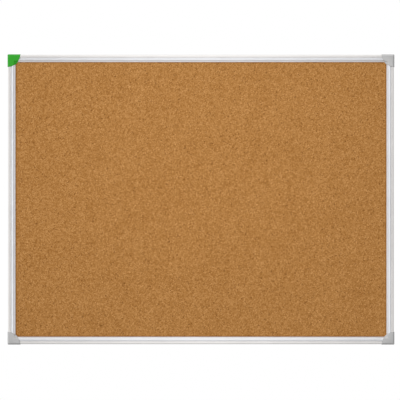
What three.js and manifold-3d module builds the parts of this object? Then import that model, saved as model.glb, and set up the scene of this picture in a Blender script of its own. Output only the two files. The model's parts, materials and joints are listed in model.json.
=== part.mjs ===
// Framed cork pinboard for a wall: a laminated cork panel held in four lengths of one aluminium extrusion.
// Moulded keys join the rails at the corners, and a cap over each key pulls off to reach the wall screw.
// Millimetres, +Z up. The origin is the centre of the wall plane and the cork faces -Y.
import * as THREE from "three";
import { mergeVertices } from "three/addons/utils/BufferGeometryUtils.js";
import Module from "manifold-3d";

const wasm = await Module();
wasm.setup();

// Frame
const frameWidth = 1200;        // across the outer faces of the side rails
const frameHeight = 900;        // across the outer faces of the top and bottom rails
const railFace = 22.8;          // width of a rail seen from the front
const railWall = 1.2;           // wall of the extrusion
const frameProud = 6;           // how far the bead stands in front of the cork
const chamberWidth = 10.8;      // inside of the hollow that takes the legs of the keys
const flangeReach = 8.8;        // how far the rear flange reaches behind the panel
const rearEdgeRadius = 1;       // outer rear edge
const bandDrop = 1.2;           // how far the outer band lies below the bead
const shoulderRadius = 4;       // outer front edge
const grooveInset = 8.4;        // outer face to the groove
const grooveWidth = 2.4;
const grooveDepth = 1.4;        // below the outer band
const beadEdgeRadius = 2;       // edge of the bead beside the groove
const crownPastWeb = 2;         // the flat of the bead ends this far past the web
const fallWidth = 5;            // round from the flat of the bead down to the lip
const lipThickness = 1.2;       // inner edge of the rail, over the cork
const lipRise = 0.3;            // how much the lip rises from its edge to the bead
const lipNoseRadius = 0.8;      // round on the inner edge of the lip
const railEndGap = 1;           // rails stop this far short of each other's inner edges

// Panel
const corkThickness = 2;
const coreThickness = 8;
const backThickness = 0.6;
const panelFit = 0.3;           // clearance before and behind the panel in its channel
const panelEdgeGap = 0.8;       // panel edge to the web of the rail

// Corner caps
const capRadius = 39.4;         // quarter round about the outer corner
const capWall = 0.9;            // side walls
const capFront = 1.7;           // front wall
const capSkirt = 1.5;           // wall under the quarter round
const capFit = 0.3;             // clearance round the rails and keys
const capSeat = 0.4;            // clearance over the bead
const capOverFall = 1.5;        // the cap's fall to the cork lies this far inwards of the rail's
const capEdgeWidth = 5.3;       // crowned chamfer on the two outer edges, seen from the front
const capEdgeDepth = 4.6;
const capEdgeSlope = 36;        // degrees at which the chamfer leaves the front
const capRoundEdge = 0.8;       // small chamfer on the edge of the quarter round
const capCornerRadius = 3;      // outer corner seen from the front
const capWallGap = 0.4;         // rear edge of the cap to the wall plane
const pegDiameter = 4;          // pegs that hold the cap in its key
const pegReach = 9;             // how far a peg goes into its socket
const pegChamfer = 0.8;         // lead-in at the tip of a peg
const pegFit = 0.3;             // clearance round and under a peg

// Corner keys
const keyFit = 0.3;             // clearance in the rails and under the caps
const keyWall = 1.6;
const keyFloor = 2;
const keyCornerRadius = 3;
const legLength = 32;           // beyond the end of the rail
const legTaper = 1;             // lead-in at the tip of a leg, on each side
const legTaperLength = 4;
const legChamfer = 1.2;         // leg edge under the round of the rail
const ribThickness = 1.2;
const socketWall = 1.6;         // round a peg socket
const wallScrewHole = 5;
const screwHeadPocket = 9;
const screwHeadFloor = 6;       // wall plane to the seat of the wall screw's head

// Corner screws
const screwDiameter = 3;
const screwHead = 5.6;
const screwRim = 0.2;           // straight edge of the countersunk head
const screwLength = 9;
const screwTip = 2;
const screwSunk = 0.2;          // head below the wall plane
const screwFit = 0.3;
const crossLength = 3;          // cross recess in the head
const crossWidth = 0.7;
const crossDepth = 0.9;

// Facets
const arcSteps = 5;             // curve segments, of which three.js takes twice as many on an arc
const capSteps = 16;            // along the quarter round of a cap
const edgeSteps = 5;            // over a rounded edge
const fallSteps = 8;            // over the round of the bead
const roundSides = 20;          // round a hole or peg
const screwSides = 16;
const beyond = 5;               // how far a cutter runs past what it cuts

// Depths, measured forwards from the wall plane
const backRear = railWall + panelFit;
const coreRear = backRear + backThickness;
const corkRear = coreRear + coreThickness;
const corkFace = corkRear + corkThickness;
const lipRear = corkFace + panelFit;
const lipFront = lipRear + lipThickness;
const railDepth = corkFace + frameProud;
const bandDepth = railDepth - bandDrop;
const grooveFloor = bandDepth - grooveDepth;
const legFront = grooveFloor - railWall - keyFit;
const legRear = railWall + keyFit;
const capUnder = railDepth + capSeat;
const capDepth = capUnder + capFront;
const capInnerEdgeWidth = capEdgeWidth - capWall;
const capInnerEdgeDepth = capEdgeDepth - capWall;
const keyFront = capUnder - capInnerEdgeDepth - keyFit;
const pegTip = keyFront - pegReach;

// Insets, measured inwards from the outer face of a rail
const chamberEnd = railWall + chamberWidth;
const webEnd = chamberEnd + railWall;
const crownEnd = webEnd + crownPastWeb;
const grooveEnd = grooveInset + grooveWidth;
const panelInset = webEnd + panelEdgeGap;
const flangeEnd = webEnd + flangeReach;
const railSetback = railFace + railEndGap;
const keyEnd = railSetback - keyFit;
const keyMiddle = webEnd / 2;
const capProud = capWall + capFit;
const pegInset = (webEnd + keyEnd - keyWall) / 2;
const legTip = keyEnd + legLength;
const screwInset = keyEnd + legLength / 2;

// The bead falls to the lip in a quarter of an ellipse that leaves the flat of the bead level.
const fallEnd = crownEnd + fallWidth;
const lipRoot = lipFront + lipRise;
const fallDrop = railDepth - lipRoot;
const lipSlope = lipRise / (railFace - fallEnd);

// A section is drawn as inset and depth and runs along a rail. A plan is two insets and has a depth.
const sectionToPart = new THREE.Matrix4().makeBasis(
  new THREE.Vector3(0, 0, 1),
  new THREE.Vector3(0, -1, 0),
  new THREE.Vector3(1, 0, 0)
);
const planToPart = new THREE.Matrix4().makeBasis(
  new THREE.Vector3(1, 0, 0),
  new THREE.Vector3(0, 0, 1),
  new THREE.Vector3(0, -1, 0)
);
const sectionToPlan = new THREE.Matrix4().makeBasis(
  new THREE.Vector3(0, 1, 0),
  new THREE.Vector3(0, 0, 1),
  new THREE.Vector3(1, 0, 0)
);
const planToSection = sectionToPlan.clone().invert();

// A closed three.js geometry as a solid that can be cut and joined.
function toSolid(geometry) {
  const bare = geometry.clone();
  bare.deleteAttribute("normal");
  bare.deleteAttribute("uv");
  const merged = mergeVertices(bare, 1e-4);
  return new wasm.Manifold(new wasm.Mesh({
    numProp: 3,
    vertProperties: merged.getAttribute("position").array,
    triVerts: new Uint32Array(merged.index.array)
  }));
}

function toGeometry(solid) {
  const mesh = solid.getMesh();
  const geometry = new THREE.BufferGeometry();
  geometry.setAttribute("position", new THREE.BufferAttribute(mesh.vertProperties, 3));
  geometry.setIndex(new THREE.BufferAttribute(mesh.triVerts, 1));
  geometry.computeVertexNormals();
  return geometry;
}

function joined(solids) {
  return solids.reduce((whole, solid) => whole.add(solid));
}

function without(solid, cutters) {
  return cutters.reduce((rest, cutter) => rest.subtract(cutter), solid);
}

// A shape drawn flat and run from one depth to another.
function slab(shape, from, to) {
  const geometry = new THREE.ExtrudeGeometry(shape, {
    depth: to - from,
    bevelEnabled: false,
    curveSegments: arcSteps
  });
  return geometry.translate(0, 0, from);
}

function block(a, b, from, to) {
  const geometry = new THREE.BoxGeometry(a[1] - a[0], b[1] - b[0], to - from);
  return geometry.translate((a[0] + a[1]) / 2, (b[0] + b[1]) / 2, (from + to) / 2);
}

// A round along the depth, which may taper.
function round(a, b, rearDiameter, frontDiameter, from, to) {
  const geometry = new THREE.CylinderGeometry(frontDiameter / 2, rearDiameter / 2, to - from, roundSides);
  return geometry.rotateX(Math.PI / 2).translate(a, b, (from + to) / 2);
}

// A profile of radius and depth turned about the depth.
function turned(profile, turns) {
  const points = profile.map(([radius, depth]) => new THREE.Vector2(radius, depth));
  return new THREE.LatheGeometry(points, turns).rotateX(Math.PI / 2);
}

// A skin over outlines with the same number of points, each at its own depth, closed at both ends.
function loft(layers) {
  const count = layers[0].outline.length;
  const positions = layers.flatMap(({ outline, depth }) => outline.flatMap(([a, b]) => [a, b, depth]));
  const index = [];
  for (let layer = 0; layer < layers.length - 1; layer += 1) {
    for (let point = 0; point < count; point += 1) {
      const here = layer * count + point;
      const next = layer * count + (point + 1) % count;
      index.push(here, next, next + count, here, next + count, here + count);
    }
  }
  const contour = layers[0].outline.map(([a, b]) => new THREE.Vector2(a, b));
  const lid = THREE.ShapeUtils.triangulateShape(contour, []);
  const lastLayer = (layers.length - 1) * count;
  for (const [a, b, c] of lid) {
    index.push(a, c, b, lastLayer + a, lastLayer + b, lastLayer + c);
  }
  const geometry = new THREE.BufferGeometry();
  geometry.setAttribute("position", new THREE.Float32BufferAttribute(positions, 3));
  geometry.setIndex(index);
  return geometry;
}

// The same solid for the other leg of a corner, mirrored across the corner's diagonal.
function otherLeg(solid) {
  const swap = [0, 1, 0, 0, 1, 0, 0, 0, 0, 0, 1, 0, 0, 0, 0, 1];
  return solid.transform(swap);
}

function bothLegs(solid) {
  return joined([solid, otherLeg(solid)]);
}

// Front of the lip at an inset, which slopes down from the bead.
function lipDepth(inset) {
  return lipRoot - lipSlope * (inset - fallEnd);
}

// The front of a rail from the end of its lip, over the cork, up to the flat of its bead.
function fallLine(lipEnd) {
  const line = [[lipEnd, lipDepth(lipEnd)]];
  for (let step = 0; step <= fallSteps; step += 1) {
    const angle = Math.PI / 2 * step / fallSteps;
    line.push([crownEnd + fallWidth * Math.cos(angle), lipRoot + fallDrop * Math.sin(angle)]);
  }
  return line;
}

// Section of the extrusion: a hollow for the keys on the outside and a channel for the panel on the inside.
function railSection() {
  const section = new THREE.Shape();
  section.moveTo(rearEdgeRadius, 0);
  section.lineTo(flangeEnd, 0);
  section.lineTo(flangeEnd, railWall);
  section.lineTo(webEnd, railWall);
  section.lineTo(webEnd, railDepth - railWall);
  section.absellipse(crownEnd, lipRoot, fallWidth - railWall, fallDrop - railWall, Math.PI / 2, 0, true);
  section.lineTo(fallEnd - railWall, lipRear);
  section.lineTo(railFace, lipRear);
  const noseInset = railFace - lipNoseRadius;
  section.absarc(noseInset, lipDepth(noseInset) - lipNoseRadius, lipNoseRadius, 0, Math.PI / 2, false);
  fallLine(noseInset).forEach(([inset, depth]) => section.lineTo(inset, depth));
  section.absarc(
    grooveEnd + beadEdgeRadius, railDepth - beadEdgeRadius, beadEdgeRadius, Math.PI / 2, Math.PI, false
  );
  const grooveRadius = grooveWidth / 2;
  section.absarc(grooveEnd - grooveRadius, grooveFloor + grooveRadius, grooveRadius, 0, -Math.PI, true);
  section.lineTo(grooveInset, bandDepth);
  section.absarc(shoulderRadius, bandDepth - shoulderRadius, shoulderRadius, Math.PI / 2, Math.PI, false);
  section.absarc(rearEdgeRadius, rearEdgeRadius, rearEdgeRadius, Math.PI, Math.PI * 1.5, false);
  section.holes.push(chamberSection());
  return section;
}

// The hollow follows the front of the rail one wall below it.
function chamberSection() {
  const roundInside = shoulderRadius - railWall;
  const ceiling = bandDepth - railWall;
  const chamber = new THREE.Path();
  chamber.moveTo(railWall, railWall);
  chamber.lineTo(chamberEnd, railWall);
  chamber.lineTo(chamberEnd, grooveFloor - railWall);
  chamber.lineTo(grooveInset - railWall, grooveFloor - railWall);
  chamber.lineTo(grooveInset - railWall, ceiling);
  chamber.absarc(shoulderRadius, ceiling - roundInside, roundInside, Math.PI / 2, Math.PI, false);
  chamber.closePath();
  return chamber;
}

// The outside of a rail with the clearance of a cap round it, filled in, to trim the skirt of the cap.
function railEnvelope() {
  const beadRadius = beadEdgeRadius + capFit;
  const envelope = new THREE.Shape();
  envelope.moveTo(-capFit, -beyond);
  envelope.lineTo(railFace + capFit, -beyond);
  fallLine(railFace).forEach(([inset, depth]) => envelope.lineTo(inset + capFit, depth + capFit));
  envelope.absarc(
    grooveEnd + beadEdgeRadius, railDepth - beadEdgeRadius, beadRadius, Math.PI / 2, Math.PI, false
  );
  envelope.lineTo(grooveEnd - capFit, bandDepth + capFit);
  envelope.absarc(
    shoulderRadius, bandDepth - shoulderRadius, shoulderRadius + capFit, Math.PI / 2, Math.PI, false
  );
  envelope.closePath();
  return envelope;
}

// A rail runs from its start along its own length, with the countersunk holes for the corner screws.
function railGeometry(length) {
  const rail = toSolid(slab(railSection(), 0, length));
  const sunk = screwSunk + screwRim;
  const mouth = screwHead + 2 * screwFit + 2 * (beyond + sunk);
  const bottom = screwHead + 2 * screwFit - 2 * (railWall + keyFit - sunk);
  const cone = round(0, 0, mouth, bottom, -beyond, railWall + keyFit).applyMatrix4(planToSection);
  const fromEnd = screwInset - railSetback;
  const places = [fromEnd, length - fromEnd];
  const holes = places.map((along) => toSolid(cone.clone().translate(keyMiddle, 0, along)));
  return toGeometry(without(rail, holes)).applyMatrix4(sectionToPart);
}

// Outline of a cap from the front: two straight sides, a rounded corner and a quarter round about the corner.
function capOutline(sideInset, roundInset) {
  const radius = capRadius - roundInset;
  const startAngle = Math.asin(sideInset / radius);
  const sweep = Math.PI / 2 - 2 * startAngle;
  const corner = Math.max(capCornerRadius - sideInset, 0.2);
  const outline = [];
  for (let step = 0; step <= capSteps; step += 1) {
    const angle = startAngle + sweep * step / capSteps;
    outline.push([radius * Math.cos(angle), radius * Math.sin(angle)]);
  }
  for (let step = 0; step <= edgeSteps; step += 1) {
    const angle = Math.PI + Math.PI / 2 * step / edgeSteps;
    const centre = sideInset + corner;
    outline.push([centre + corner * Math.cos(angle), centre + corner * Math.sin(angle)]);
  }
  return outline.map(([a, b]) => [a - capProud, b - capProud]);
}

// A prism of the cap's outline with a crowned chamfer along its outer edges.
function capForm(sideInset, roundInset, edgeWidth, edgeDepth, from, to) {
  const slope = THREE.MathUtils.degToRad(capEdgeSlope);
  const chord = Math.cos(slope) - Math.sin(slope);
  const layers = [{ outline: capOutline(sideInset, roundInset), depth: from }];
  for (let step = 0; step <= edgeSteps; step += 1) {
    const angle = slope + (Math.PI / 2 - 2 * slope) * step / edgeSteps;
    const drawnIn = edgeWidth * (Math.cos(slope) - Math.cos(angle)) / chord;
    const below = edgeDepth * (Math.cos(slope) - Math.sin(angle)) / chord;
    const roundDrawnIn = Math.max(capRoundEdge - below, 0);
    layers.push({ outline: capOutline(sideInset + drawnIn, roundInset + roundDrawnIn), depth: to - below });
  }
  return toSolid(loft(layers));
}

// The room in front of the falls of two rails that meet at a corner, moved inwards and forwards of them.
function fallSpace(inwards, forwards) {
  const far = capRadius + beyond;
  const layers = fallLine(capRadius).map(([inset, depth]) => {
    const near = inset + inwards;
    return { outline: [[near, near], [far, near], [far, far], [near, far]], depth: depth + forwards };
  });
  layers.push({ outline: layers.at(-1).outline, depth: capDepth + beyond });
  return toSolid(loft(layers));
}

// A shell that follows the rails down to the cork, with a skirt and two pegs for the sockets of the key.
function capGeometry() {
  const outside = capForm(0, 0, capEdgeWidth, capEdgeDepth, capWallGap, capDepth)
    .subtract(fallSpace(capOverFall, capSeat + capFront));
  const inside = capForm(capWall, capSkirt, capInnerEdgeWidth, capInnerEdgeDepth, -beyond, capUnder)
    .subtract(fallSpace(capSeat, capSeat));
  const railSpace = slab(railEnvelope(), railSetback - beyond, capRadius + beyond);
  const overRails = bothLegs(toSolid(railSpace.applyMatrix4(sectionToPlan)));
  const overCork = [panelInset, capRadius + beyond];
  const corkSpace = toSolid(block(overCork, overCork, -beyond, corkFace + capFit));
  const shell = without(outside, [inside, overRails, corkSpace]);
  const peg = turned([
    [0, pegTip],
    [pegDiameter / 2 - pegChamfer, pegTip],
    [pegDiameter / 2, pegTip + pegChamfer],
    [pegDiameter / 2, capUnder + capFront / 2],
    [0, capUnder + capFront / 2]
  ], roundSides).translate(pegInset, keyMiddle, 0);
  return toGeometry(shell.add(bothLegs(toSolid(peg)))).applyMatrix4(planToPart);
}

// Plan of the key: an L round the corner of the panel.
function keyPlan() {
  const plan = new THREE.Shape();
  plan.absarc(keyCornerRadius, keyCornerRadius, keyCornerRadius, Math.PI, Math.PI * 1.5, false);
  plan.lineTo(keyEnd, 0);
  plan.lineTo(keyEnd, webEnd);
  plan.lineTo(webEnd, webEnd);
  plan.lineTo(webEnd, keyEnd);
  plan.lineTo(0, keyEnd);
  plan.closePath();
  return plan;
}

// Plate of the key behind the corner of the panel.
function keyPlatePlan() {
  const plan = new THREE.Shape();
  plan.absarc(keyCornerRadius, keyCornerRadius, keyCornerRadius, Math.PI, Math.PI * 1.5, false);
  plan.lineTo(keyEnd, 0);
  plan.lineTo(keyEnd, keyEnd);
  plan.lineTo(0, keyEnd);
  plan.closePath();
  return plan;
}

// Section of a leg, drawn in by inset, with one edge cut off to pass the round inside the rail.
function legSection(inset) {
  const outer = railWall + keyFit + inset;
  const inner = chamberEnd - keyFit - inset;
  const rear = legRear + inset;
  const front = legFront - inset;
  return [
    [outer, rear],
    [inner, rear],
    [inner, front],
    [outer + legChamfer, front],
    [outer, front - legChamfer]
  ];
}

// A leg runs into the hollow of a rail. It is cored out from the front beside the block for its screw.
function legSolid() {
  const layers = [
    { outline: legSection(0), depth: keyEnd - keyWall / 2 },
    { outline: legSection(0), depth: legTip - legTaperLength },
    { outline: legSection(legTaper), depth: legTip }
  ];
  const leg = toSolid(loft(layers).applyMatrix4(sectionToPlan));
  const blockHalf = screwDiameter / 2 + screwFit + keyWall;
  const across = [railWall + keyFit + keyWall, chamberEnd - keyFit - keyWall];
  const floor = legRear + keyWall;
  const cores = [
    [keyEnd + keyWall, screwInset - blockHalf],
    [screwInset + blockHalf, legTip - legTaperLength]
  ].map((along) => toSolid(block(along, across, floor, legFront + beyond)));
  const pilot = screwDiameter + 2 * screwFit;
  const hole = round(screwInset, keyMiddle, pilot, pilot, -beyond, screwLength + screwSunk + screwFit);
  return without(leg, [...cores, toSolid(hole)]);
}

// A moulded corner with the wall screw's hole and head pocket, two peg sockets on ribs and two legs.
function keyGeometry() {
  const body = joined([
    toSolid(slab(keyPlan(), 0, keyFront)),
    toSolid(slab(keyPlatePlan(), 0, railWall))
  ]);
  const wellAlong = [webEnd, keyEnd - keyWall];
  const wellAcross = [keyWall, webEnd - keyWall];
  const well = toSolid(block(wellAlong, wellAcross, keyFloor, keyFront + beyond));
  const socketDiameter = pegDiameter + 2 * pegFit;
  const bossDiameter = socketDiameter + 2 * socketWall;
  const boss = toSolid(round(pegInset, keyMiddle, bossDiameter, bossDiameter, keyFloor / 2, keyFront));
  const ribAlong = [pegInset - ribThickness / 2, pegInset + ribThickness / 2];
  const ribAcross = [keyWall / 2, webEnd - keyWall / 2];
  const rib = toSolid(block(ribAlong, ribAcross, keyFloor / 2, keyFront - ribThickness));
  const socketFloor = pegTip - pegFit;
  const socket = toSolid(
    round(pegInset, keyMiddle, socketDiameter, socketDiameter, socketFloor, keyFront + beyond)
  );
  const hole = toSolid(round(keyMiddle, keyMiddle, wallScrewHole, wallScrewHole, -beyond, keyFront + beyond));
  const pocket = toSolid(
    round(keyMiddle, keyMiddle, screwHeadPocket, screwHeadPocket, screwHeadFloor, keyFront + beyond)
  );
  const hollowed = without(body, [bothLegs(well), hole, pocket]);
  const socketed = without(hollowed.add(bothLegs(boss.add(rib))), [bothLegs(socket)]);
  return toGeometry(socketed.add(bothLegs(legSolid()))).applyMatrix4(planToPart);
}

// A countersunk screw with a cross recess, pointing forwards from the wall plane.
function screwGeometry() {
  const coneEnd = screwSunk + screwRim + (screwHead - screwDiameter) / 2;
  const tipEnd = screwSunk + screwLength;
  const profile = [
    [0, screwSunk],
    [screwHead / 2, screwSunk],
    [screwHead / 2, screwSunk + screwRim],
    [screwDiameter / 2, coneEnd],
    [screwDiameter / 2, tipEnd - screwTip],
    [0, tipEnd]
  ];
  const screw = toSolid(turned(profile, screwSides));
  const long = [-crossLength / 2, crossLength / 2];
  const short = [-crossWidth / 2, crossWidth / 2];
  const slot = toSolid(block(long, short, -beyond, screwSunk + crossDepth));
  return toGeometry(without(screw, [bothLegs(slot)])).applyMatrix4(planToPart);
}

function panelLayerGeometry(from, to) {
  const width = frameWidth - 2 * panelInset;
  const height = frameHeight - 2 * panelInset;
  return new THREE.BoxGeometry(width, to - from, height).translate(0, -(from + to) / 2, 0);
}

// Materials
function aluminium() {
  return new THREE.MeshStandardMaterial({ color: 0xdcdcde, roughness: 0.38, metalness: 0.9 });
}

function greyPlastic() {
  return new THREE.MeshStandardMaterial({ color: 0xbbbab9, roughness: 0.5, metalness: 0 });
}

function greenPlastic() {
  return new THREE.MeshStandardMaterial({ color: 0x3aa630, roughness: 0.5, metalness: 0 });
}

function keyPlastic() {
  return new THREE.MeshStandardMaterial({ color: 0x8a8a88, roughness: 0.6, metalness: 0 });
}

function zincSteel() {
  return new THREE.MeshStandardMaterial({ color: 0xc4c6c8, roughness: 0.35, metalness: 1 });
}

function cork() {
  return new THREE.MeshStandardMaterial({ color: 0xaf7c46, roughness: 0.95, metalness: 0 });
}

function softboard() {
  return new THREE.MeshStandardMaterial({ color: 0xa88a60, roughness: 1, metalness: 0 });
}

function backingPaper() {
  return new THREE.MeshStandardMaterial({ color: 0x9a8568, roughness: 0.9, metalness: 0 });
}

function piece(name, geometry, material) {
  const mesh = new THREE.Mesh(geometry, material);
  mesh.name = name;
  return mesh;
}

const pinboard = new THREE.Group();

// The panel is three sheets glued face to face.
pinboard.add(piece("back_sheet", panelLayerGeometry(backRear, coreRear), backingPaper()));
pinboard.add(piece("softboard_core", panelLayerGeometry(coreRear, corkRear), softboard()));
pinboard.add(piece("cork_sheet", panelLayerGeometry(corkRear, corkFace), cork()));

// Each side carries its rail and the corner at the rail's start, and turns a quarter from the side before it.
const sides = [
  { rail: "rail_bottom", corner: "bottom_left", capMaterial: greyPlastic },
  { rail: "rail_left", corner: "top_left", capMaterial: greenPlastic },
  { rail: "rail_top", corner: "top_right", capMaterial: greyPlastic },
  { rail: "rail_right", corner: "bottom_right", capMaterial: greyPlastic }
];

sides.forEach(({ rail, corner, capMaterial }, quarter) => {
  const side = new THREE.Group();
  side.rotation.y = quarter * Math.PI / 2;
  const upright = quarter % 2 === 1;
  const along = upright ? frameHeight : frameWidth;
  const across = upright ? frameWidth : frameHeight;

  const railLength = along - 2 * railSetback;
  const railMesh = piece(rail, railGeometry(railLength), aluminium());
  railMesh.position.set(-railLength / 2, 0, -across / 2);
  side.add(railMesh);

  const cornerGroup = new THREE.Group();
  cornerGroup.position.set(-along / 2, 0, -across / 2);
  cornerGroup.add(piece(`corner_key_${corner}`, keyGeometry(), keyPlastic()));
  cornerGroup.add(piece(`corner_cap_${corner}`, capGeometry(), capMaterial()));
  const screwPlaces = [[screwInset, keyMiddle], [keyMiddle, screwInset]];
  screwPlaces.forEach(([a, b], number) => {
    const screw = piece(`corner_screw_${corner}_${number + 1}`, screwGeometry(), zincSteel());
    screw.position.set(a, 0, b);
    cornerGroup.add(screw);
  });
  side.add(cornerGroup);
  pinboard.add(side);
});

export default pinboard;
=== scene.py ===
import json
import math

import bmesh
import bpy
from mathutils import Matrix, Vector

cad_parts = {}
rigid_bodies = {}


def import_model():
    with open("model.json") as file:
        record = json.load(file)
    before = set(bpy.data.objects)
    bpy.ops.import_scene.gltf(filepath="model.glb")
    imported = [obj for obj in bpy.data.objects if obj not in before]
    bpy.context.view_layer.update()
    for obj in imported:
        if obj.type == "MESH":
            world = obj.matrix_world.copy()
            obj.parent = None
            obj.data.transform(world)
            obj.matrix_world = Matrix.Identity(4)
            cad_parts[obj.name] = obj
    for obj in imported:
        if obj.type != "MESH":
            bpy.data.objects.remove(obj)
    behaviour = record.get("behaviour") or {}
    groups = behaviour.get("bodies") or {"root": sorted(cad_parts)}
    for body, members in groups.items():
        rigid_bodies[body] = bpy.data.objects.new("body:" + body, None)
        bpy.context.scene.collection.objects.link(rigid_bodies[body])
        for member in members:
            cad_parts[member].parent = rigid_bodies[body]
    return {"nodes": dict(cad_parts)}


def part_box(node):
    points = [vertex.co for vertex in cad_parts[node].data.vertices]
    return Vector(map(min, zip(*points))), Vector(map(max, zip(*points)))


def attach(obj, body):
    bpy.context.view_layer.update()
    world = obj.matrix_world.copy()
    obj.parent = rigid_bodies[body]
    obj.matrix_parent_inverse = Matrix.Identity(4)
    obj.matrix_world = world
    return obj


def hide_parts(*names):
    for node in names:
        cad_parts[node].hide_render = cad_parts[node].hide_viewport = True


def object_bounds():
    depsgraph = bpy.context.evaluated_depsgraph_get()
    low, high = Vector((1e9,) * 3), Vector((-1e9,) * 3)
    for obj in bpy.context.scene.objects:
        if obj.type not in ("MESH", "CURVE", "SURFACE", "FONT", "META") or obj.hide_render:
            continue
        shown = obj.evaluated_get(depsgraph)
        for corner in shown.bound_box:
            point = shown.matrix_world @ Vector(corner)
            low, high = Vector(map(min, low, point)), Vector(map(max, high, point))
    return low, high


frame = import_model()
cad_low, cad_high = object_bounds()
scene = bpy.context.scene


def rgb(red, green, blue):
    """A colour as the nodes take it, with nothing see-through."""
    return (red, green, blue, 1.0)


# The axis that a rail runs along
ACROSS = 0
UPRIGHT = 2

# Places on the CAD model: the front of the keys and of the rails, and the outer faces of the rails
key_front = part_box("corner_key_bottom_left")[0].y
rail_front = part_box("rail_top")[0].y
outer_faces = {ACROSS: ("Z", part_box("rail_top")[1].z), UPRIGHT: ("X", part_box("rail_right")[1].x)}

CORNERS = ("bottom_left", "top_left", "top_right", "bottom_right")

# The picture: where the board's outline stands in it, in pixels, and how far that is from the wall
PICTURE_WIDTH = 400
BOARD_WIDTH_SHOWN = 386.83
BOARD_CENTRE_SHOWN = (200.97, 199.45)
OUTLINE_DEPTH = 0.0157

# The camera's lens and the width of its sensor, in millimetres
LENS = 100
SENSOR = 36

# The floor
FLOOR_DROP = 1.5
FLOOR_RADIUS = 4.4
FLOOR_FADE = 3.4
FLOOR_SPECKLE = 0.004
FLOOR_GREYS = (rgb(0.86, 0.86, 0.86), rgb(0.92, 0.92, 0.915))
FLOOR_ROUGHNESS = 0.8

# The light: a fill from all round, with more of it from above, the left and behind, and two lamps
WHITE = rgb(1, 1, 1)
FILL_LEVEL = 0.55
FILL_ABOVE = 0.36
FILL_LEFT = 0.38
FILL_BEHIND = 0.30
KEY_PLACE = Vector((-3.0, -7.0, 4.0))
KEY_SIZE = 2.4
KEY_LEVEL = 0.22
FRONT_PLACE = Vector((0.0, -1.4, 0.3))
FRONT_SIZE = 0.9
FRONT_LEVEL = 0.38

# What the metal mirrors: a room paler above and to the left, dimmer in front but for a bright strip
MIRROR_LEVEL = 0.74
MIRROR_ABOVE = 0.38
MIRROR_LEFT = 0.25
MIRROR_SIDES = 0.10
FRONT_DIMNESS = 0.36
STRIP_LEVEL = 1.5
STRIP_HALF_WIDTH = 0.2

# Refining a copy of a CAD solid
WELD = 0.000002
FLAT_ANGLE = math.radians(0.2)
CREASE_ANGLE = math.radians(32)
SOFT_ANGLE = math.radians(25)
FIN_ANGLE = math.radians(120)
LONG_EDGE = 0.5
SHORT_EDGE = 0.0004
CAP_EDGE = 0.0003
KEY_EDGE = 0.0002
EDGE_SEGMENTS = 2

# Limits on a part of a face's normal, below which the face looks away from a side or straight forwards
LOOKS_AWAY = -0.001
LOOKS_FORWARDS = -0.9

# Relief of the cork's face, which starts under the lips of the rails
CORK_COVERED = 0.006
CORK_CUTS = 15
CORK_LUMP = 0.00016
CORK_SEED = 7

# Corner screws
SCREW_SIDES = 24
SCREW_RIM = 0.0002
SCREW_CORE = 0.0021
SCREW_TIP = 0.002
SCREW_NARROWING = 0.1
SCREW_THREAD = 0.003
SCREW_PITCH = 0.0011
SCREW_TURNS = 5
THREAD_BASE = 0.0006
THREAD_SUNK = 0.0001
CROSS_LENGTH = 0.003
CROSS_WIDTH = 0.0007
CROSS_DEPTH = 0.0013
CROSS_TAPER = 0.45

# Depth and strength of the relief of each finish
CORK_RELIEF = (0.0004, 0.55)
ALUMINIUM_RELIEF = (0.00004, 0.8)
MOULD_RELIEF = (0.0001, 0.75)
FIBRE_RELIEF = (0.0001, 0.4)
ZINC_RELIEF = (0.00002, 0.3)

# Marks in the finishes: the level where each sets in, how steeply, and how strong it gets
CRUMBLED_CHIPS = (0.55, 8, 1)
BARK_CHIPS = (0.045, 60, 0.6)
BARK_SPECKS = (0.92, 14, 0.75)
OPEN_PORES = (0.34, 14, 0.4)
DARK_BINDER = (1 / 16, 16, 0.4)
SEAM_WALLS = (0, 6, 0.4)
SCUFFS = (0.62, 6, 0.35)
STRANDS = (0.58, 9, 1)
FLECKS = (0.95, 30, 0.8)

# Pressed cork: the sizes of its parts, and their weights in its tone and in its relief
CORK_CHIP = 0.0032
CORK_CRUMB = 0.0015
CORK_SPECK = 0.0011
CORK_GRAIN = 0.0006
CORK_PATCH = 0.11
CHIP_WANDER = 1.3
GRAIN_STRETCH = (1.0, 1.0, 2.2)
CHIP_TONE = 0.39
CRUMB_TONE = 0.18
CRUMBLED_TONE = 0.16
GRAIN_TONE = 0.34
PATCH_TONE = 0.12
TONE_DROP = 0.095
CHIP_HEIGHT = 0.3
CRUMB_HEIGHT = 0.14
GRAIN_HEIGHT = 0.5
CORK_ROUGHNESS = 0.84
GRAIN_ROUGHNESS = 0.14
CORK_GLOSS = 0.25
CORK_BROWNS = [
    (0.0, rgb(0.190, 0.068, 0.012)),
    (0.22, rgb(0.345, 0.144, 0.030)),
    (0.5, rgb(0.478, 0.228, 0.066)),
    (0.78, rgb(0.612, 0.316, 0.110)),
    (1.0, rgb(0.715, 0.410, 0.172)),
]
CORK_DARK = rgb(0.148, 0.047, 0.005)

# Painted shade on the cork along each rail, standing in for the contact shadow under the rails' lips
PAINTED_SHADE_WIDTH = 0.007
PAINTED_SHADE_LEFT = 0.78
PAINTED_SHADE_RIGHT = 0.6
PAINTED_SHADE_BOTTOM = 0.64
PAINTED_SHADE_TOP = 0.25
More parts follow.
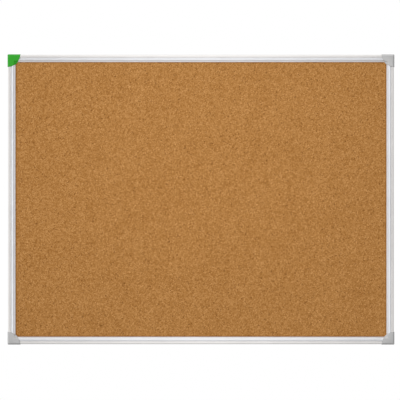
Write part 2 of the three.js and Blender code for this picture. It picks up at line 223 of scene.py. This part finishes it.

# Aluminium: lines of the die, a slow veil, a painted highlight on the bead's crown, and the casts of
# band and bead
STREAK_WIDTH = 0.0007
STREAK_LENGTH = 0.6
FINER_STREAKS = 4
VEIL_SIZE = 0.05
STREAK_TONE = 0.6
VEIL_TONE = 0.4
STREAK_HEIGHT = 0.6
FINE_HEIGHT = 0.4
ALUMINIUM_ROUGHNESS = 0.28
STREAK_ROUGHNESS = 0.03
VEIL_ROUGHNESS = 0.02
CROWN_HIGHLIGHT_DEPTH = 0.0008
BAND_WIDTH = 0.0084
GROOVE_WIDTH = 0.0024
BAND_CAST = (1.03, 1.0, 0.975)
BEAD_CAST = (0.99, 1.0, 1.03)

# The uprights are painted paler, with a stronger painted highlight on the bead's crown: lit and shaded
# copies of one metal
ACROSS_SHADED_GREYS = (0.665, 0.875)
ACROSS_CROWN_HIGHLIGHT = 0.05
UPRIGHT_LIT_GREYS = (0.75, 0.96)
UPRIGHT_CROWN_HIGHLIGHT = 0.5

# Moulded plastic
MOULD_GRAIN = 0.0004
MOULD_FLOW = 0.018
SCUFF_SIZE = 0.004
SCUFF_STRETCH = (1.0, 1.0, 5.0)
FLOW_TONE = 0.25
MOULD_TONE = 0.12
SCUFF_TONE = 0.5
FLOW_ROUGHNESS = 0.08
SCUFF_POLISH = 0.12
GREY_PLASTIC = (rgb(0.488, 0.484, 0.482), rgb(0.572, 0.568, 0.566))
GREEN_PLASTIC = (rgb(0.012, 0.318, 0.004), rgb(0.028, 0.385, 0.012))
KEY_PLASTIC = (rgb(0.20, 0.20, 0.196), rgb(0.29, 0.29, 0.285))
CAP_ROUGHNESS = 0.42
KEY_ROUGHNESS = 0.55

# Pressed fibres of the softboard and of the paper on the back
PAPER_FIBRE = 0.0007
BOARD_FIBRE = 0.0011
FIBRE_STRETCH = 9
PALE_FIBRE_TURNS = (12, 81, 154)
DARK_FIBRE_TURNS = (47, 118)
STRAND_COVER = 0.7
DARK_STRAND_HEIGHT = 0.6
PULP_SIZE = 0.012
PULP_TONE = 0.6
CLOUD_SIZE = 0.16
CLOUD_TONE = 0.4
FIBRE_ROUGHNESS = 0.82
PULP_ROUGHNESS = 0.12
FIBRE_GLOSS = 0.3
SOFTBOARD_BROWNS = (rgb(0.27, 0.16, 0.075), rgb(0.46, 0.31, 0.16))
PAPER_BROWNS = (rgb(0.22, 0.155, 0.085), rgb(0.40, 0.31, 0.19))

# Zinc plating
ZINC_CLOUD = 0.0015
ZINC_GRAIN = 0.0003
ZINC_GREYS = (rgb(0.46, 0.47, 0.50), rgb(0.66, 0.66, 0.67))
ZINC_ROUGHNESS = 0.24
CLOUD_ROUGHNESS = 0.18


class Wire:
    """An output of a shader node. Sums of wires and numbers add Math nodes to the same tree."""

    def __init__(self, tree, socket):
        self.tree = tree
        self.socket = socket

    def node(self, kind, settings=None, inputs=None, output=0):
        """Adds any node: its settings first, then the numbers, colours or wires of its inputs."""
        added = self.tree.nodes.new(kind)
        for name, value in (settings or {}).items():
            if name == "stops":
                set_stops(added.color_ramp, value)
            else:
                setattr(added, name, value)
        for name, value in (inputs or {}).items():
            if isinstance(value, Wire):
                self.tree.links.new(value.socket, added.inputs[name])
            else:
                added.inputs[name].default_value = value
        return Wire(self.tree, added.outputs[output])

    def other(self, output):
        """Another output of the node that this wire comes from."""
        return Wire(self.tree, self.socket.node.outputs[output])

    def sum(self, operation, first, second):
        """Adds a Math node of two wires or numbers."""
        return self.node("ShaderNodeMath", {"operation": operation}, {0: first, 1: second})

    def __add__(self, value):
        return self.sum("ADD", self, value)

    def __radd__(self, value):
        return self.sum("ADD", value, self)

    def __sub__(self, value):
        return self.sum("SUBTRACT", self, value)

    def __rsub__(self, value):
        return self.sum("SUBTRACT", value, self)

    def __mul__(self, value):
        return self.sum("MULTIPLY", self, value)

    def most(self, value):
        """The greater of two."""
        return self.sum("MAXIMUM", self, value)

    def clamped(self):
        return self.node("ShaderNodeClamp", None, {"Value": self})

    def absolute(self):
        return self.node("ShaderNodeMath", {"operation": "ABSOLUTE"}, {0: self})

    def above(self, level, steepness, strength):
        """Nothing up to a level, and rising over it to the full strength."""
        return ((self - level) * steepness).clamped() * strength

    def below(self, level, steepness, strength):
        """Nothing down to a level, and rising under it to the full strength."""
        return ((level - self) * steepness).clamped() * strength

    def between(self, low_colour, high_colour):
        """The colour that lies this far from the low one to the high one."""
        settings = {"data_type": "RGBA", "blend_type": "MIX"}
        return self.node("ShaderNodeMix", settings, {0: self, 6: low_colour, 7: high_colour}, 2)

    def stretched(self, factors):
        return self.node("ShaderNodeVectorMath", {"operation": "MULTIPLY"}, {0: self, 1: factors})

    def noise(self, size, detail=2.0):
        """Soft noise at this place, with lumps of about the given size."""
        inputs = {"Vector": self, "Scale": 1 / size, "Detail": detail}
        return self.node("ShaderNodeTexNoise", None, inputs)

    def laid(self, turn, stretch):
        """This place turned by some degrees in the board's plane, to draw a pattern out that way."""
        inputs = {"Vector": self, "Rotation": (0, math.radians(turn), 0), "Scale": (stretch, 1, 1)}
        return self.node("ShaderNodeMapping", {"vector_type": "TEXTURE"}, inputs)

    def cells(self, size):
        """Three numbers that are random from cell to cell, in cells of about the given size."""
        inputs = {"Vector": self, "Scale": 1 / size}
        shades = self.node("ShaderNodeTexVoronoi", None, inputs, "Color")
        red = self.node("ShaderNodeSeparateColor", None, {"Color": shades}, "Red")
        return red, red.other("Green"), red.other("Blue")

    def seams(self, size):
        """Distance from the seams between the same cells, in cells."""
        inputs = {"Vector": self, "Scale": 1 / size}
        return self.node("ShaderNodeTexVoronoi", {"feature": "DISTANCE_TO_EDGE"}, inputs, "Distance")

    def ramp(self, stops):
        """A colour from a ramp of stops, each a position and a colour."""
        return self.node("ShaderNodeValToRGB", {"stops": stops}, {"Fac": self})


def set_stops(ramp, stops):
    """Gives a colour ramp its stops, each a position and a colour."""
    for number, (position, colour) in enumerate(stops):
        if number < len(ramp.elements):
            ramp.elements[number].position = position
            element = ramp.elements[number]
        else:
            element = ramp.elements.new(position)
        element.color = colour


# Finishes
def start_finish(name):
    """A new material, and the wire of the place on the object, in metres."""
    material = bpy.data.materials.new(name)
    material.use_nodes = True
    coordinates = material.node_tree.nodes.new("ShaderNodeTexCoord")
    return material, Wire(material.node_tree, coordinates.outputs["Object"])


def end_finish(material, relief=None, relief_size=None, **sockets):
    """Sets the shader's sockets, with underscores for the spaces in their names, and its relief."""
    tree = material.node_tree
    shader = tree.nodes["Principled BSDF"]
    for name, value in sockets.items():
        socket = shader.inputs[name.replace("_", " ")]
        if isinstance(value, Wire):
            tree.links.new(value.socket, socket)
        else:
            socket.default_value = value
    if relief is not None:
        depth, strength = relief_size
        inputs = {"Height": relief, "Distance": depth, "Strength": strength}
        bump = relief.node("ShaderNodeBump", None, inputs)
        tree.links.new(bump.socket, shader.inputs["Normal"])
    return material


def painted_shade_along(distance, amount):
    """The given amount of painted shade at the edge of a rail, falling to nothing a little way in from
    it.
    """
    nearness = (1 - distance * (1 / PAINTED_SHADE_WIDTH)).clamped()
    return nearness * nearness * amount


def painted_shade_round_frame(place):
    """Painted shade along the inner edges of the rails, for their contact shadow on the cork, least at
    the top.
    """
    x = place.node("ShaderNodeSeparateXYZ", None, {0: place}, "X")
    z = x.other("Z")
    left = painted_shade_along(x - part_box("rail_left")[1].x, PAINTED_SHADE_LEFT)
    right = painted_shade_along(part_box("rail_right")[0].x - x, PAINTED_SHADE_RIGHT)
    bottom = painted_shade_along(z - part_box("rail_bottom")[1].z, PAINTED_SHADE_BOTTOM)
    top = painted_shade_along(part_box("rail_top")[0].z - z, PAINTED_SHADE_TOP)
    return left.most(right).most(bottom.most(top))


def cork_finish():
    """Pressed cork: chips of several browns with crumbs among them, specks of bark and open pores."""
    material, place = start_finish("pressed cork")
    wander = place.noise(CORK_CHIP, detail=5.0).other("Color")
    bending = {0: wander, 1: [CHIP_WANDER * CORK_CHIP] * 3, 2: place}
    bent = place.node("ShaderNodeVectorMath", {"operation": "MULTIPLY_ADD"}, bending)
    chip_tone, chip_height, chip_kind = bent.cells(CORK_CHIP)
    crumb_tone, crumb_height = bent.cells(CORK_CRUMB)[:2]
    speck_kind = bent.cells(CORK_SPECK)[0]
    seams = bent.seams(CORK_CHIP)
    grain = place.stretched(GRAIN_STRETCH).noise(CORK_GRAIN, detail=4.0)
    patches = place.noise(CORK_PATCH)
    crumbled = crumb_tone * chip_kind.above(*CRUMBLED_CHIPS)
    chips = chip_tone * CHIP_TONE + crumb_tone * CRUMB_TONE + crumbled * CRUMBLED_TONE
    tone = chips + grain * GRAIN_TONE + patches * PATCH_TONE - TONE_DROP
    colour = tone.ramp(CORK_BROWNS)
    pores = grain.below(*OPEN_PORES)
    binder = seams.below(*DARK_BINDER)
    bark = chip_kind.below(*BARK_CHIPS).most(speck_kind.above(*BARK_SPECKS))
    # The last of these darkenings is painted shade on the cork along the rails
    for darkness in (pores, binder, bark, painted_shade_round_frame(place)):
        colour = darkness.between(colour, CORK_DARK)
    chip_relief = chip_height * CHIP_HEIGHT + crumb_height * CRUMB_HEIGHT
    return end_finish(
        material,
        relief=chip_relief + seams.above(*SEAM_WALLS) + grain * GRAIN_HEIGHT,
        relief_size=CORK_RELIEF,
        Base_Color=colour,
        Roughness=CORK_ROUGHNESS + grain * GRAIN_ROUGHNESS,
        Specular_IOR_Level=CORK_GLOSS,
    )


def aluminium_shades(tone, greys, cast):
    """The greys of the metal by its tone, each with a faint cast."""
    dull, bright = [rgb(*(grey * part for part in cast)) for grey in greys]
    return tone.between(dull, bright)


def aluminium_finish(name, along, greys, crown_highlight_level):
    """Satin anodised aluminium with the lines of the die along an axis, and a cooler bead with a
    painted highlight on its crown.
    """
    material, place = start_finish(name)
    factors = [1 / STREAK_WIDTH] * 3
    factors[along] = 1 / STREAK_LENGTH
    lines = place.stretched(factors).noise(1.0, detail=3.0)
    fine_lines = place.stretched([FINER_STREAKS * factor for factor in factors]).noise(1.0)
    veil = place.noise(VEIL_SIZE)
    y = place.node("ShaderNodeSeparateXYZ", None, {0: place}, "Y")
    # Painted highlight: the metal within a little of the rails' front is made paler
    crown_highlight = (1 - (y - rail_front) * (1 / CROWN_HIGHLIGHT_DEPTH)).clamped()
    tone = lines * STREAK_TONE + veil * VEIL_TONE + crown_highlight * crown_highlight_level
    outward_axis, outer_face = outer_faces[along]
    bead_start = outer_face - BAND_WIDTH - GROOVE_WIDTH
    band = ((y.other(outward_axis).absolute() - bead_start) * (1 / GROOVE_WIDTH)).clamped()
    cool = aluminium_shades(tone, greys, BEAD_CAST)
    warm = aluminium_shades(tone, greys, BAND_CAST)
    return end_finish(
        material,
        relief=lines * STREAK_HEIGHT + fine_lines * FINE_HEIGHT,
        relief_size=ALUMINIUM_RELIEF,
        Base_Color=band.between(cool, warm),
        Metallic=1.0,
        Roughness=ALUMINIUM_ROUGHNESS + lines * STREAK_ROUGHNESS + veil * VEIL_ROUGHNESS,
    )


def moulded_finish(name, colours, roughness):
    """Moulded plastic with a spark-eroded grain, slow changes of sheen and a few faint scuffs."""
    material, place = start_finish(name)
    grain = place.noise(MOULD_GRAIN)
    flow = place.noise(MOULD_FLOW, detail=3.0)
    scuffs = place.stretched(SCUFF_STRETCH).noise(SCUFF_SIZE, detail=4.0).above(*SCUFFS)
    mottle = (flow * FLOW_TONE + grain * MOULD_TONE + scuffs * SCUFF_TONE).clamped()
    return end_finish(
        material,
        relief=grain,
        relief_size=MOULD_RELIEF,
        Base_Color=mottle.between(*colours),
        Roughness=roughness + flow * FLOW_ROUGHNESS - scuffs * SCUFF_POLISH,
    )


def fibre_strands(place, turns, fibre):
    """Where single fibres lie along any of the given directions."""
    strands = [place.laid(turn, FIBRE_STRETCH).noise(fibre, detail=3.0) for turn in turns]
    together = strands[0]
    for strand in strands[1:]:
        together = together.most(strand)
    return together.above(*STRANDS)


def fibre_finish(name, browns, fibre):
    """Pressed fibres that lie every way in a sheet, over clouds of thicker and thinner pulp."""
    dark, pale = browns
    material, place = start_finish(name)
    clouds = place.noise(CLOUD_SIZE)
    pulp = (place.noise(PULP_SIZE, detail=6.0) * PULP_TONE + clouds * CLOUD_TONE).clamped()
    flecks = place.cells(fibre * 2)[0].above(*FLECKS)
    pale_strands = fibre_strands(place, PALE_FIBRE_TURNS, fibre)
    dark_strands = fibre_strands(place, DARK_FIBRE_TURNS, fibre)
    ground = (pale_strands * STRAND_COVER).between(pulp.between(dark, pale), pale)
    shives = (dark_strands * STRAND_COVER).most(flecks)
    return end_finish(
        material,
        relief=pale_strands + dark_strands * DARK_STRAND_HEIGHT + pulp,
        relief_size=FIBRE_RELIEF,
        Base_Color=shives.between(ground, dark),
        Roughness=FIBRE_ROUGHNESS + pulp * PULP_ROUGHNESS,
        Specular_IOR_Level=FIBRE_GLOSS,
    )


def zinc_finish():
    """Bright zinc plating on a small screw, a little cloudy."""
    material, place = start_finish("zinc plating")
    clouds = place.noise(ZINC_CLOUD, detail=3.0)
    return end_finish(
        material,
        relief=place.noise(ZINC_GRAIN),
        relief_size=ZINC_RELIEF,
        Base_Color=clouds.between(*ZINC_GREYS),
        Metallic=1.0,
        Roughness=ZINC_ROUGHNESS + clouds * CLOUD_ROUGHNESS,
    )


# Pieces
def pick(piece):
    """Makes this the one selected object."""
    bpy.ops.object.select_all(action="DESELECT")
    piece.select_set(True)
    bpy.context.view_layer.objects.active = piece


def dress(node_name, material):
    """Gives a CAD node that stays in sight its finish."""
    materials = frame["nodes"][node_name].data.materials
    materials.clear()
    materials.append(material)


def edit_whole():
    """Goes into edit mode with the whole of the piece selected."""
    bpy.ops.object.mode_set(mode="EDIT")
    bpy.ops.mesh.select_mode(type="VERT")
    bpy.ops.mesh.select_all(action="SELECT")


def stand_in(piece, node_name, body, material):
    """Shades a piece, gives it its finish and puts it in the place of a CAD node."""
    piece.name = node_name + "_finished"
    pick(piece)
    bpy.ops.object.shade_smooth_by_angle(angle=CREASE_ANGLE)
    evened = piece.modifiers.new("even shading", "WEIGHTED_NORMAL")
    evened.keep_sharp = True
    bpy.ops.object.modifier_apply(modifier=evened.name)
    piece.data.materials.clear()
    piece.data.materials.append(material)
    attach(piece, body)
    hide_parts(node_name)


def new_piece(mesh):
    """A new object with this mesh, selected."""
    piece = bpy.data.objects.new(mesh.name, mesh)
    scene.collection.objects.link(piece)
    pick(piece)
    return piece


def is_outer_edge(edge):
    """A crease between two faces that look forwards or away from the middle of the board."""
    middle = (edge.verts[0].co + edge.verts[1].co) / 2
    for face in edge.link_faces:
        if min(face.normal.x * middle.x, face.normal.z * middle.z, -face.normal.y) < LOOKS_AWAY:
            return False
    return edge.is_convex and edge.calc_face_angle() > SOFT_ANGLE


def is_front_rim(edge):
    """An edge round the faces at the very front of a key."""
    at_front = all(vertex.co.y < key_front + WELD for vertex in edge.verts)
    return at_front and edge.is_convex and edge.calc_face_angle() > SOFT_ANGLE


def is_fin(edge):
    """A ridge along the whole of a rail that is as thin as a blade."""
    return edge.calc_length() > LONG_EDGE and edge.is_convex and edge.calc_face_angle() > FIN_ANGLE


def select_edges(piece, wanted):
    """Selects the wanted edges of the piece that is being edited, and tells how many there are."""
    bpy.ops.mesh.select_mode(type="EDGE")
    bpy.ops.mesh.select_all(action="DESELECT")
    shape = bmesh.from_edit_mesh(piece.data)
    found = [edge for edge in shape.edges if edge.calc_length() > SHORT_EDGE and wanted(edge)]
    for edge in found:
        edge.select_set(True)
    bmesh.update_edit_mesh(piece.data)
    return len(found)


def round_cap(piece):
    """Rounds the outer edges of a cap that is being edited."""
    select_edges(piece, is_outer_edge)
    bpy.ops.mesh.bevel(offset=CAP_EDGE, segments=EDGE_SEGMENTS, affect="EDGES")


def round_key(piece):
    """Rounds the front rims of a key that is being edited."""
    select_edges(piece, is_front_rim)
    bpy.ops.mesh.bevel(offset=KEY_EDGE, segments=EDGE_SEGMENTS, affect="EDGES")


def clear_groove(piece):
    """Takes off the thin fin between the bead of a rail and its groove, step by step from its tip."""
    while select_edges(piece, is_fin):
        bpy.ops.mesh.dissolve_edges(use_verts=True)


def refine(node_name, body, material, finish_shape):
    """A copy of a CAD solid with its triangles joined and its shape finished, in place of the solid."""
    piece = new_piece(frame["nodes"][node_name].data.copy())
    edit_whole()
    bpy.ops.mesh.remove_doubles(threshold=WELD)
    bpy.ops.mesh.dissolve_limited(angle_limit=FLAT_ANGLE)
    finish_shape(piece)
    bpy.ops.object.mode_set(mode="OBJECT")
    stand_in(piece, node_name, body, material)


def add_block(middle, size):
    """A block with its place and size in its mesh."""
    bpy.ops.object.select_all(action="DESELECT")
    bpy.ops.mesh.primitive_cube_add(size=1, location=middle, scale=size)
    bpy.ops.object.transform_apply(location=True, rotation=True, scale=True)
    return bpy.context.object


def edit_front(piece):
    """Goes into edit mode with only the faces selected that look straight forwards."""
    bpy.ops.object.mode_set(mode="EDIT")
    bpy.ops.mesh.select_mode(type="FACE")
    bpy.ops.mesh.select_all(action="DESELECT")
    bpy.ops.object.mode_set(mode="OBJECT")
    for face in piece.data.polygons:
        face.select = face.normal.y < LOOKS_FORWARDS
    bpy.ops.object.mode_set(mode="EDIT")


def combine(piece, other, operation):
    """Joins another shape to a piece, or cuts it out of the piece, and clears the other away."""
    pick(piece)
    change = piece.modifiers.new(operation.lower(), "BOOLEAN")
    change.operation = operation
    change.solver = "EXACT"
    change.object = other
    bpy.ops.object.modifier_apply(modifier=change.name)
    bpy.data.objects.remove(other)


def model_cork():
    """A sheet whose face, inside the frame, has the low lumps and hollows of its chips."""
    low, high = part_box("cork_sheet")
    sheet = add_block((low + high) / 2, high - low)
    edit_front(sheet)
    bpy.ops.mesh.inset(thickness=CORK_COVERED, depth=0)
    bpy.ops.mesh.subdivide(number_cuts=CORK_CUTS)
    bpy.ops.mesh.subdivide(number_cuts=CORK_CUTS)
    bpy.ops.mesh.select_less()
    bpy.ops.transform.vertex_random(offset=CORK_LUMP, normal=1, seed=CORK_SEED)
    bpy.ops.object.mode_set(mode="OBJECT")
    return sheet


def model_thread(start):
    """A ridge that winds round the Y axis towards the front, closed at both ends."""
    height = (SCREW_THREAD - SCREW_CORE) / 2 + THREAD_SUNK
    bpy.ops.object.select_all(action="DESELECT")
    bpy.ops.mesh.primitive_circle_add(vertices=3, radius=1, rotation=(0, 0, math.radians(-90)))
    bpy.ops.object.transform_apply(location=True, rotation=True, scale=True)
    ridge = bpy.context.object
    # The triangle's apex lies 1 from its middle and its base 0.5, and its sides are the root of 3 long
    apex = height / 1.5
    base = THREAD_BASE / math.sqrt(3)
    edit_whole()
    bpy.ops.transform.resize(value=(apex, base, 1), center_override=(0, 0, 0))
    bpy.ops.transform.translate(value=(SCREW_THREAD / 2 - apex, start, 0))
    bpy.ops.object.mode_set(mode="OBJECT")
    winding = ridge.modifiers.new("winding", "SCREW")
    winding.axis = "Y"
    winding.iterations = SCREW_TURNS
    winding.screw_offset = -SCREW_PITCH
    winding.steps = SCREW_SIDES
    winding.render_steps = SCREW_SIDES
    bpy.ops.object.modifier_apply(modifier=winding.name)
    edit_whole()
    bpy.ops.mesh.fill_holes(sides=0)
    bpy.ops.mesh.select_all(action="SELECT")
    bpy.ops.mesh.normals_make_consistent(inside=False)
    bpy.ops.object.mode_set(mode="OBJECT")
    return ridge


def model_screw():
    """A countersunk self-tapping screw on the Y axis, with a thread and a tapering cross recess."""
    low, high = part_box("corner_screw_bottom_left_1")
    head = (high.x - low.x) / 2
    core = SCREW_CORE / 2
    cone = head - core
    shank = high.y - low.y - SCREW_RIM - cone - SCREW_TIP
    bpy.ops.object.select_all(action="DESELECT")
    bpy.ops.mesh.primitive_circle_add(
        vertices=SCREW_SIDES,
        radius=head,
        fill_type="NGON",
        location=(0, high.y, 0),
        rotation=(math.radians(90), 0, 0),
    )
    bpy.ops.object.transform_apply(location=True, rotation=True, scale=True)
    screw = bpy.context.object
    edit_whole()
    lengths = ((SCREW_RIM, 1), (cone, core / head), (shank, 1), (SCREW_TIP, SCREW_NARROWING))
    for length, narrowing in lengths:
        bpy.ops.mesh.extrude_region_move(TRANSFORM_OT_translate={"value": (0, -length, 0)})
        bpy.ops.transform.resize(value=(narrowing, 1, narrowing), center_override=(0, 0, 0))
    bpy.ops.mesh.merge(type="CENTER")
    bpy.ops.mesh.select_all(action="SELECT")
    bpy.ops.mesh.normals_make_consistent(inside=False)
    bpy.ops.object.mode_set(mode="OBJECT")
    thread_start = high.y - SCREW_RIM - cone - THREAD_BASE / 2
    combine(screw, model_thread(thread_start), "UNION")
    for long, short in ((CROSS_LENGTH, CROSS_WIDTH), (CROSS_WIDTH, CROSS_LENGTH)):
        wing = add_block((0, high.y, 0), (long, 2 * CROSS_DEPTH, short))
        edit_front(wing)
        bpy.ops.transform.resize(value=(CROSS_TAPER, 1, CROSS_TAPER), center_override=(0, 0, 0))
        bpy.ops.object.mode_set(mode="OBJECT")
        combine(screw, wing, "DIFFERENCE")
    edit_whole()
    bpy.ops.mesh.remove_doubles(threshold=WELD)
    bpy.ops.mesh.dissolve_degenerate()
    bpy.ops.object.mode_set(mode="OBJECT")
    return screw


def dress_panel():
    """The cork, the softboard behind it and the paper on the back."""
    softboard = fibre_finish("softboard", SOFTBOARD_BROWNS, BOARD_FIBRE)
    paper = fibre_finish("backing paper", PAPER_BROWNS, PAPER_FIBRE)
    stand_in(model_cork(), "cork_sheet", "board", cork_finish())
    dress("softboard_core", softboard)
    dress("back_sheet", paper)


def dress_frame():
    """The four rails."""
    # Two copies of the metal, the upright one painted paler as painted light
    across = aluminium_finish("aluminium, drawn across", ACROSS, ACROSS_SHADED_GREYS, ACROSS_CROWN_HIGHLIGHT)
    upright = aluminium_finish("aluminium, drawn upright", UPRIGHT, UPRIGHT_LIT_GREYS, UPRIGHT_CROWN_HIGHLIGHT)
    for side, material in (("bottom", across), ("left", upright), ("top", across), ("right", upright)):
        refine("rail_" + side, "board", material, clear_groove)


def dress_corners():
    """The cap, the key and the two screws of each corner."""
    grey = moulded_finish("grey moulding", GREY_PLASTIC, CAP_ROUGHNESS)
    green = moulded_finish("green moulding", GREEN_PLASTIC, CAP_ROUGHNESS)
    key = moulded_finish("key moulding", KEY_PLASTIC, KEY_ROUGHNESS)
    zinc = zinc_finish()
    screw = model_screw()
    for corner in CORNERS:
        coloured = corner == "top_left"
        cap_finish = green if coloured else grey
        refine("corner_cap_" + corner, "cap_" + corner, cap_finish, round_cap)
        refine("corner_key_" + corner, "board", key, round_key)
        for number in (1, 2):
            node_name = f"corner_screw_{corner}_{number}"
            low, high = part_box(node_name)
            middle = (low + high) / 2
            mesh = screw.data.copy()
            mesh.transform(Matrix.Translation((middle.x, 0, middle.z)))
            stand_in(new_piece(mesh), node_name, "board", zinc)
    bpy.data.objects.remove(screw)


# The room
def place_camera():
    """Stands square in front of the board, as far off as the lens needs for the picture's size."""
    pixel = (cad_high.x - cad_low.x) / BOARD_WIDTH_SHOWN
    distance = PICTURE_WIDTH * pixel * LENS / SENSOR
    data = bpy.data.cameras.new("camera")
    data.lens = LENS
    data.sensor_width = SENSOR
    camera = bpy.data.objects.new("camera", data)
    camera.location = (
        (PICTURE_WIDTH / 2 - BOARD_CENTRE_SHOWN[0]) * pixel,
        -OUTLINE_DEPTH - distance,
        (BOARD_CENTRE_SHOWN[1] - PICTURE_WIDTH / 2) * pixel,
    )
    camera.rotation_euler = (math.radians(90), 0, 0)
    scene.collection.objects.link(camera)
    scene.camera = camera


def add_lamp(name, place, size, level):
    """A square soft lamp that faces the board and lights a white face turned to it to this level."""
    data = bpy.data.lights.new(name, "AREA")
    data.size = size
    data.energy = level * (math.pi * place.length) ** 2
    lamp = bpy.data.objects.new(name, data)
    lamp.location = place
    lamp.rotation_euler = (-place).to_track_quat("-Z", "Y").to_euler()
    lamp.visible_camera = False
    lamp.visible_glossy = False
    scene.collection.objects.link(lamp)


def fill_the_room():
    """Soft light from all round, a room for shiny faces to mirror, and a plain white backdrop."""
    world = bpy.data.worlds.new("studio")
    scene.world = world
    world.use_nodes = True
    tree = world.node_tree
    path = tree.nodes.new("ShaderNodeLightPath")
    glossy_ray = Wire(tree, path.outputs["Is Glossy Ray"])
    clear_ray = glossy_ray.other("Is Camera Ray").most(glossy_ray.other("Is Transmission Ray"))
    heading = Wire(tree, tree.nodes.new("ShaderNodeTexCoord").outputs["Generated"])
    right = heading.node("ShaderNodeSeparateXYZ", None, {0: heading}, "X")
    up = right.other("Z")
    backwards = right.other("Y").clamped()
    forwards = (0 - right.other("Y")).clamped()
    facing = forwards * forwards
    strip = (1 - right.absolute() * (1 / STRIP_HALF_WIDTH)).clamped() * forwards
    spread = FILL_LEVEL + up * FILL_ABOVE - right * FILL_LEFT + backwards * FILL_BEHIND
    around = MIRROR_LEVEL + up * up.absolute() * MIRROR_ABOVE - right * right.absolute() * MIRROR_LEFT
    sides = right * right * MIRROR_SIDES
    mirrored = around + sides - facing * facing * FRONT_DIMNESS + strip * STRIP_LEVEL
    fill = heading.node("ShaderNodeBackground", None, {"Color": WHITE, "Strength": spread})
    studio = heading.node("ShaderNodeBackground", None, {"Color": WHITE, "Strength": mirrored})
    backdrop = heading.node("ShaderNodeBackground", None, {"Color": WHITE, "Strength": 1.0})
    lit = heading.node("ShaderNodeMixShader", None, {0: glossy_ray, 1: fill, 2: studio})
    seen = heading.node("ShaderNodeMixShader", None, {0: clear_ray, 1: lit, 2: backdrop})
    tree.links.new(seen.socket, tree.nodes["World Output"].inputs["Surface"])


def lay_floor():
    """A pale floor that fades into the white round it, lights nothing and stands in no light's way."""
    bpy.ops.object.select_all(action="DESELECT")
    bpy.ops.mesh.primitive_plane_add(size=2 * FLOOR_RADIUS, location=(0, 0, -FLOOR_DROP))
    floor = bpy.context.object
    floor.name = "floor"
    material, place = start_finish("pale floor")
    colour = place.noise(FLOOR_SPECKLE).between(*FLOOR_GREYS)
    end_finish(material, Base_Color=colour, Roughness=FLOOR_ROUGHNESS)
    tree = material.node_tree
    painted = Wire(tree, tree.nodes["Principled BSDF"].outputs["BSDF"])
    away = place.node("ShaderNodeVectorMath", {"operation": "LENGTH"}, {0: place}, "Value")
    faded = (1 - (FLOOR_RADIUS - away) * (1 / FLOOR_FADE)).clamped()
    clear = place.node("ShaderNodeBsdfTransparent")
    fading = place.node("ShaderNodeMixShader", None, {0: faded, 1: painted, 2: clear})
    tree.links.new(fading.socket, tree.nodes["Material Output"].inputs["Surface"])
    floor.data.materials.append(material)
    floor.visible_diffuse = False
    floor.visible_glossy = False
    floor.visible_shadow = False


scene.view_settings.view_transform = "Standard"
place_camera()
fill_the_room()
add_lamp("key", KEY_PLACE, KEY_SIZE, KEY_LEVEL)
add_lamp("front", FRONT_PLACE, FRONT_SIZE, FRONT_LEVEL)
lay_floor()
dress_panel()
dress_frame()
dress_corners()
